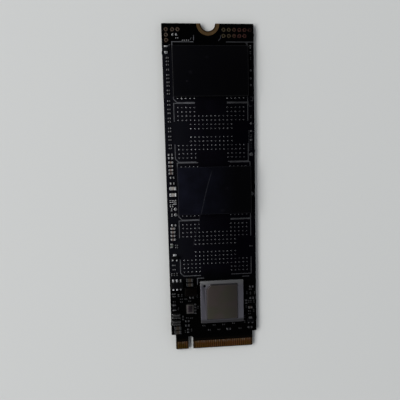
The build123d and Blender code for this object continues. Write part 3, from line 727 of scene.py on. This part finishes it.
def softenEdges(mesh, sharpDegrees):
    shape = bmesh.new()
    shape.from_mesh(mesh)
    limit = math.radians(sharpDegrees)
    for face in shape.faces:
        face.smooth = True
    for edge in shape.edges:
        edge.smooth = len(edge.link_faces) == 2 and edge.calc_face_angle(0) < limit
    shape.to_mesh(mesh)
    shape.free()


def addPiece(name, shape, materials, replaced=(), sharpDegrees=35):
    mesh = bpy.data.meshes.new(name)
    bmesh.ops.recalc_face_normals(shape, faces=shape.faces)
    shape.to_mesh(mesh)
    shape.free()
    for material in materials:
        mesh.materials.append(finishes[material])
    softenEdges(mesh, sharpDegrees)
    piece = bpy.data.objects.new(name, mesh)
    bpy.context.scene.collection.objects.link(piece)
    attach(piece, "root")
    if replaced:
        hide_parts(*replaced)


def dressNode(nodeName, material):
    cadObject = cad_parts[nodeName]
    cadObject.data.materials.clear()
    cadObject.data.materials.append(finishes[material])


def bevelEdges(shape, edges, widthMm, steps, **limits):
    bmesh.ops.bevel(
        shape, geom=edges, offset=widthMm * mm, segments=steps, profile=0.5, affect="EDGES", **limits
    )


def bevelledCopy(name, nodeName, material, slot, widthMm, steps=2, sharpDegrees=40):
    shape = nodeMesh(nodeName)
    limit = math.radians(meshLook["bevelOverDegrees"])
    edges = [e for e in shape.edges if len(e.link_faces) == 2 and e.calc_face_angle(0) > limit]
    bevelEdges(shape, edges, widthMm, steps, clamp_overlap=True)
    addPiece(name, shape, [material], [nodeName], sharpDegrees)


def addRoundedBox(shape, low, high, radiusMm, steps=2):
    made = bmesh.ops.create_cube(shape, size=1.0)["verts"]
    size = high - low
    middle = (high + low) / 2
    for vert in made:
        vert.co = Vector([middle[i] + vert.co[i] * size[i] for i in range(3)])
    edges = list({edge for vert in made for edge in vert.link_edges})
    bevelEdges(shape, edges, radiusMm, steps)


def joinRings(shape, rings, materialIndex=0):
    for first, second in zip(rings, rings[1:]):
        for step in range(len(first)):
            after = (step + 1) % len(first)
            face = shape.faces.new((first[step], first[after], second[after], second[step]))
            face.material_index = materialIndex


def capRings(shape, rings, materialIndex=0):
    for ring in (rings[0], rings[-1]):
        shape.faces.new(ring).material_index = materialIndex


def addTurned(shape, centre, profile, segments, materialIndex=0, squash=(1, 1), closed=False):
    rings = []
    for radius, height in profile:
        ring = []
        for step in range(segments):
            angle = 2 * math.pi * step / segments
            offset = (radius * squash[0] * math.cos(angle), radius * squash[1] * math.sin(angle), height)
            ring.append(shape.verts.new(centre + Vector(offset) * mm))
        rings.append(ring)
    if closed:
        rings.append(rings[0])
    joinRings(shape, rings, materialIndex)
    if not closed:
        capRings(shape, rings, materialIndex)


def footOf(low, high):  # the middle of a box's underside
    return Vector(((low.x + high.x) / 2, (low.y + high.y) / 2, low.z))


# Solder domes on the bare pads, none quite like the next
domeLook = {
    "radiusMm": 0.185, "heightMm": 0.096, "topDegrees": 84, "segments": 14, "rings": 5,
    "shiftMm": 0.012, "varyRadius": 0.07, "varyHeight": 0.21, "squash": 0.04, "sharpDegrees": 60,
}


def addDomes(name, nodeName, material, look):
    shape = bmesh.new()
    for low, high in islandBoxes(nodeName):
        centre = footOf(low, high)
        centre += Vector((rng.uniform(-1, 1), rng.uniform(-1, 1), 0)) * look["shiftMm"] * mm
        radius = look["radiusMm"] * (1 - rng.uniform(0, look["varyRadius"]))
        height = look["heightMm"] * (1 - rng.uniform(0, look["varyHeight"]))
        profile = []
        for ring in range(look["rings"] + 1):
            angle = math.radians(look["topDegrees"]) * ring / look["rings"]
            profile.append((radius * math.cos(angle), height * math.sin(angle)))
        squash = [1 + rng.uniform(-look["squash"], look["squash"]) for _ in "xy"]
        addTurned(shape, centre, profile, look["segments"], squash=squash)
    addPiece(name, shape, [material], [nodeName], look["sharpDegrees"])


# Barrel-shaped joints under the packages
jointLook = {"waistMm": 0.17, "bellyMm": 0.24, "segments": 12, "rings": 4, "sharpDegrees": 60}


def addJoints(name, nodeName, look):
    shape = bmesh.new()
    for low, high in islandBoxes(nodeName):
        tall = (high.z - low.z) / mm
        profile = []
        for ring in range(look["rings"] + 1):
            share = ring / look["rings"]
            radius = look["waistMm"] + (look["bellyMm"] - look["waistMm"]) * math.sin(math.pi * share)
            profile.append((radius, tall * share))
        addTurned(shape, footOf(low, high), profile, look["segments"])
    addPiece(name, shape, ["tinSolder"], [nodeName], look["sharpDegrees"])


# Chip parts: rounded bodies, metal ends that wrap them, and a solder fillet at each end
chipLook = {
    "bodyRadiusMm": 0.02, "endRadiusMm": 0.035, "sharpDegrees": 50,
    "filletReachMm": 0.13, "fullReachEndMm": 0.4, "reachVary": (0.8, 1.1),
    "filletClimb": 0.75, "climbVary": (0.85, 1.0), "filletTaper": 0.12, "steps": 5,
    # Rows of a fillet: place across the end, and share of the full reach and climb
    "filletRows": ((-1.0, 0.45), (-0.8, 1.0), (0.0, 1.0), (0.8, 1.0), (1.0, 0.45)),
}
chipKinds = {  # body finish and slot, then the finishes of the ends and of their solder
    "large_capacitor": ("capacitorBeige", "capacitor_tan", "brightSolder", "brightSolder"),
    "medium_capacitor": ("capacitorTan", "capacitor_tan", "softTin", "brightSolder"),
    "small_capacitor": ("capacitorBrown", "capacitor_tan", "dullTin", "softTin"),
    "large_resistor": ("resistorBlack", "resistor_black", "brightSolder", "brightSolder"),
    "medium_resistor": ("resistorBlack", "resistor_black", "softTin", "brightSolder"),
    "small_resistor": ("resistorBlack", "resistor_black", "dullTin", "softTin"),
    "ferrite_bead": ("beadGreen", "bead_green", "softTin", "softTin"),
    "diode": ("mouldedBlack", "chip_mould", "tinLead", "brightSolder"),
}


def addFillet(shape, end, outward, look, materialIndex):
    low, high = end
    axis = 0 if abs(outward.x) > abs(outward.y) else 1
    across = 1 - axis
    face = high[axis] if outward[axis] > 0 else low[axis]
    endWide = (high[axis] - low[axis]) / mm
    sizeShare = min(1, endWide / look["fullReachEndMm"])  # small parts get small fillets
    reach = sizeShare * look["filletReachMm"] * mm * rng.uniform(*look["reachVary"])
    climb = (high.z - low.z) * look["filletClimb"] * rng.uniform(*look["climbVary"])
    half = (high[across] - low[across]) / 2
    middle = (high[across] + low[across]) / 2
    steps = look["steps"]
    rows = []
    for side, fade in look["filletRows"]:
        row = []
        for step in range(steps + 1):
            share = step / steps
            point = Vector((0, 0, low.z + climb * fade * (1 - share) ** 2))
            point[axis] = face + outward[axis] * reach * fade * share
            point[across] = middle + side * half * (1 - look["filletTaper"] * share)
            row.append(shape.verts.new(point))
        foot = Vector((0, 0, low.z))
        foot[axis] = face
        foot[across] = middle + side * half
        row.append(shape.verts.new(foot))
        rows.append(row)
    joinRings(shape, rows, materialIndex)
    capRings(shape, rows, materialIndex)


def addChips(kind, look):
    bodyFinish, slot, endFinish, solderFinish = chipKinds[kind]
    ends = islandBoxes(kind + "_ends")
    bodyShape = bmesh.new()
    endShape = bmesh.new()
    for low, high in islandBoxes(kind + "_bodies"):
        addRoundedBox(bodyShape, low, high, look["bodyRadiusMm"])
        middle = (low + high) / 2
        nearest = sorted(ends, key=lambda e: ((e[0] + e[1]) / 2 - middle).length)[:2]
        for end in nearest:
            outward = (end[0] + end[1]) / 2 - middle
            outward = Vector((outward.x, outward.y, 0)).normalized()
            addRoundedBox(endShape, *end, look["endRadiusMm"])
            addFillet(endShape, end, outward, look, 1)
    finishNames = [endFinish, solderFinish]
    addPiece(kind + "Bodies", bodyShape, [bodyFinish], [kind + "_bodies"])
    addPiece(kind + "Ends", endShape, finishNames, [kind + "_ends"], look["sharpDegrees"])


# Bare rings with a floor of mask in the hole, and bare dots
ringLook = {"outerMm": 0.46, "innerMm": 0.2, "edgeShare": 0.3, "segments": 28, "floorTallMm": 0.003}
dotLook = {
    "profile": ((1.0, 0.0), (0.97, 0.35), (0.8, 0.75), (0.4, 1.0)),  # shares of the radius and the height
    "segments": 24, "sharpDegrees": 60,
}


def addRings(look):
    shape = bmesh.new()
    inner, outer = look["innerMm"], look["outerMm"]
    for low, high in islandBoxes("test_pads"):
        centre = footOf(low, high)
        tall = (high.z - low.z) / mm
        edge = look["edgeShare"] * tall
        profile = [
            (inner, 0), (inner, tall - edge), (inner + edge, tall),
            (outer - edge, tall), (outer, tall - edge), (outer, 0),
        ]
        addTurned(shape, centre, profile, look["segments"], closed=True)
        addTurned(shape, centre, [(inner, 0), (inner, look["floorTallMm"])], look["segments"], 1)
    addPiece("probeRings", shape, ["ringCopper", "boardMask"], ["test_pads"])


def addDots(look):
    shape = bmesh.new()
    for low, high in islandBoxes("test_dots"):
        tall = (high.z - low.z) / mm
        radius = (high.x - low.x) / 2 / mm
        profile = [(wide * radius, up * tall) for wide, up in look["profile"]]
        addTurned(shape, footOf(low, high), profile, look["segments"])
    addPiece("probeDots", shape, ["softTin"], ["test_dots"], look["sharpDegrees"])


# Small printed strokes beside the parts, too fine for the CAD: start, end and width
tickLook = {
    "baseMm": 0.8, "tallMm": 0.012,
    "strokes": [
        (-9.32, 35.16, -9.0, 35.16, 0.09), (-9.32, 35.16, -9.36, 33.84, 0.09),
        (-9.36, 33.84, -9.1, 33.84, 0.09), (-3.44, 37.3, -3.47, 36.15, 0.14),
        (-4.3, 36.3, -4.0, 36.75, 0.1), (3.02, 37.29, 2.96, 36.6, 0.11),
        (2.96, 36.65, 2.47, 36.1, 0.11), (8.95, 35.75, 9.7, 34.8, 0.1),
        (9.62, 15.09, 9.56, 10.0, 0.07), (10.3, 11.93, 9.85, 11.93, 0.06),
        (10.3, 11.45, 9.85, 11.45, 0.06), (10.3, 10.95, 9.85, 10.95, 0.06),
        (10.3, 10.47, 9.85, 10.47, 0.06), (9.34, 22.74, 9.7, 20.9, 0.07),
        (9.7, 20.84, 10.45, 20.84, 0.07), (10.05, 23.0, 10.65, 23.0, 0.08),
        (10.65, 23.0, 10.65, 22.1, 0.08), (10.05, 22.1, 10.65, 22.1, 0.08),
    ],
}


def addTicks(look):
    shape = bmesh.new()
    for startX, startY, endX, endY, width in look["strokes"]:
        start = Vector((startX, startY, look["baseMm"])) * mm
        along = Vector((endX, endY, look["baseMm"])) * mm - start
        side = Vector((-along.y, along.x, 0)).normalized() * width * mm / 2
        rise = Vector((0, 0, look["tallMm"])) * mm
        foot = [start + side, start - side, start + along - side, start + along + side]
        lower = [shape.verts.new(point) for point in foot]
        upper = [shape.verts.new(point + rise) for point in foot]
        capRings(shape, (lower, upper))
        joinRings(shape, (lower, upper))
    addPiece("inkTicks", shape, ["printedInk"])


# Edge contacts with rounded corners
contactLook = {"cornerMm": 0.07, "edgeMm": 0.01, "shoulderShare": 0.35, "cornerSteps": 4}


def roundedOutline(low, high, radius, steps):
    points = []
    for cx, cy, start in (
        (high.x - radius, high.y - radius, 0), (low.x + radius, high.y - radius, 90),
        (low.x + radius, low.y + radius, 180), (high.x - radius, low.y + radius, 270),
    ):
        for step in range(steps + 1):
            angle = math.radians(start + 90 * step / steps)
            points.append((cx + radius * math.cos(angle), cy + radius * math.sin(angle)))
    return points


def addPlate(shape, low, high, look, upward):
    inset = Vector((look["edgeMm"], look["edgeMm"], 0)) * mm
    radius = look["cornerMm"] * mm
    outer = roundedOutline(low, high, radius, look["cornerSteps"])
    inner = roundedOutline(low + inset, high - inset, radius - inset.x, look["cornerSteps"])
    back, front = (low.z, high.z) if upward else (high.z, low.z)
    shoulder = front + (back - front) * look["shoulderShare"]
    rings = []
    for outline, height in ((outer, back), (outer, shoulder), (inner, front)):
        rings.append([shape.verts.new((x, y, height)) for x, y in outline])
    joinRings(shape, rings)
    capRings(shape, rings)


def addContacts(name, nodeName, upward, look):
    shape = bmesh.new()
    for low, high in islandBoxes(nodeName):
        addPlate(shape, low, high, look, upward)
    addPiece(name, shape, ["contactGold"], [nodeName])


# Floor, a hair below the card
floorLook = {
    "sizeMm": 1600, "dropMm": 0.03, "colour": (0.62, 0.63, 0.625), "roughness": 0.7, "specular": 0.1,
}


def addFloor(look):
    bpy.ops.mesh.primitive_plane_add(size=look["sizeMm"] * mm, location=(0, 0, -look["dropMm"] * mm))
    floor = bpy.context.object
    floor.name = "floor"
    material = bpy.data.materials.new("paleTable")
    material.use_nodes = True
    shader = material.node_tree.nodes["Principled BSDF"]
    shader.inputs["Base Color"].default_value = (*look["colour"], 1)
    shader.inputs["Roughness"].default_value = look["roughness"]
    shader.inputs["Specular IOR Level"].default_value = look["specular"]
    floor.data.materials.append(material)


addCamera(cameraLook)
addWindow(windowLook)
addRoom(roomLook)
bpy.context.scene.view_settings.view_transform = "Standard"
print("camera, window and room are set")

addFloor(floorLook)

# Nodes that keep their own meshes, and the finish of each
dressedNodes = {
    "circuit_board": "boardMask", "notch_ground_plating": "notchGold", "printed_marks": "printedInk",
    "controller_die": "dieSilicon", "controller_paste": "thermalPaste", "controller_glue": "lidGlue",
}
for nodeName, finish in dressedNodes.items():
    dressNode(nodeName, finish)
print("dressed nodes:", len(dressedNodes))

# site 1's domes take the brighter copy of the tin solder, a painted highlight
siteSolders = {1: "litDomeSolder", 2: "tinSolder", 3: "tinSolder", 4: "tinSolder"}
packageLook = {"laminateBevelMm": 0.02, "mouldBevelMm": 0.03, "lidBevelMm": 0.04, "lidBevelSteps": 3}
laminate = ("chipLaminate", "chip_laminate", packageLook["laminateBevelMm"])
for site, solder in siteSolders.items():
    addDomes(f"siteDomes{site}", f"solder_domes_site_{site}", solder, domeLook)
for place in ("upper", "lower"):
    mould = (f"{place}Mould", "chip_mould", packageLook["mouldBevelMm"])
    addJoints(f"{place}FlashJoints", f"flash_{place}_balls", jointLook)
    bevelledCopy(f"{place}FlashLaminate", f"flash_{place}_substrate", *laminate)
    bevelledCopy(f"{place}FlashMould", f"flash_{place}_mould", *mould)
addJoints("controllerJoints", "controller_balls", jointLook)
bevelledCopy("controllerLaminate", "controller_substrate", *laminate)
lid = ("lidPlate", "lid_metal", packageLook["lidBevelMm"], packageLook["lidBevelSteps"])
bevelledCopy("controllerLid", "controller_lid", *lid)
print("memory sites and controller are dressed")

# Pieces that follow their node with softer edges: node, finish, slot and bevel in millimetres
bevelledPieces = {
    "crystalCase": ("crystal_case", "caseCeramic", "case_ceramic", 0.02),
    "crystalCover": ("crystal_lid", "crystalMetal", "cover_metal", 0.025),
    "regulatorBody": ("regulator_body", "mouldedBlack", "chip_mould", 0.05),
    "regulatorLeads": ("regulator_leads", "tinLead", "lead_tin", 0.02),
    "transistorBodies": ("transistor_bodies", "mouldedBlack", "chip_mould", 0.05),
    "transistorLeads": ("transistor_leads", "tinLead", "lead_tin", 0.02),
    "powerInductorBody": ("power_inductor_body", "ferriteBlack", "ferrite", 0.08),
    "powerInductorFeet": ("power_inductor_terminals", "tinLead", "lead_tin", 0.02),
    "chokeBodies": ("choke_bodies", "chokeGrey", "choke_cover", 0.06),
    "chokeFeet": ("choke_terminals", "chokeCap", "lead_tin", 0.06),
}
for piece, values in bevelledPieces.items():
    bevelledCopy(piece, *values)
for kind in chipKinds:
    addChips(kind, chipLook)
addRings(ringLook)
addDots(dotLook)
addTicks(tickLook)
addContacts("topContacts", "contacts_top", True, contactLook)
addContacts("undersideContacts", "contacts_underside", False, contactLook)
print("small parts are dressed")
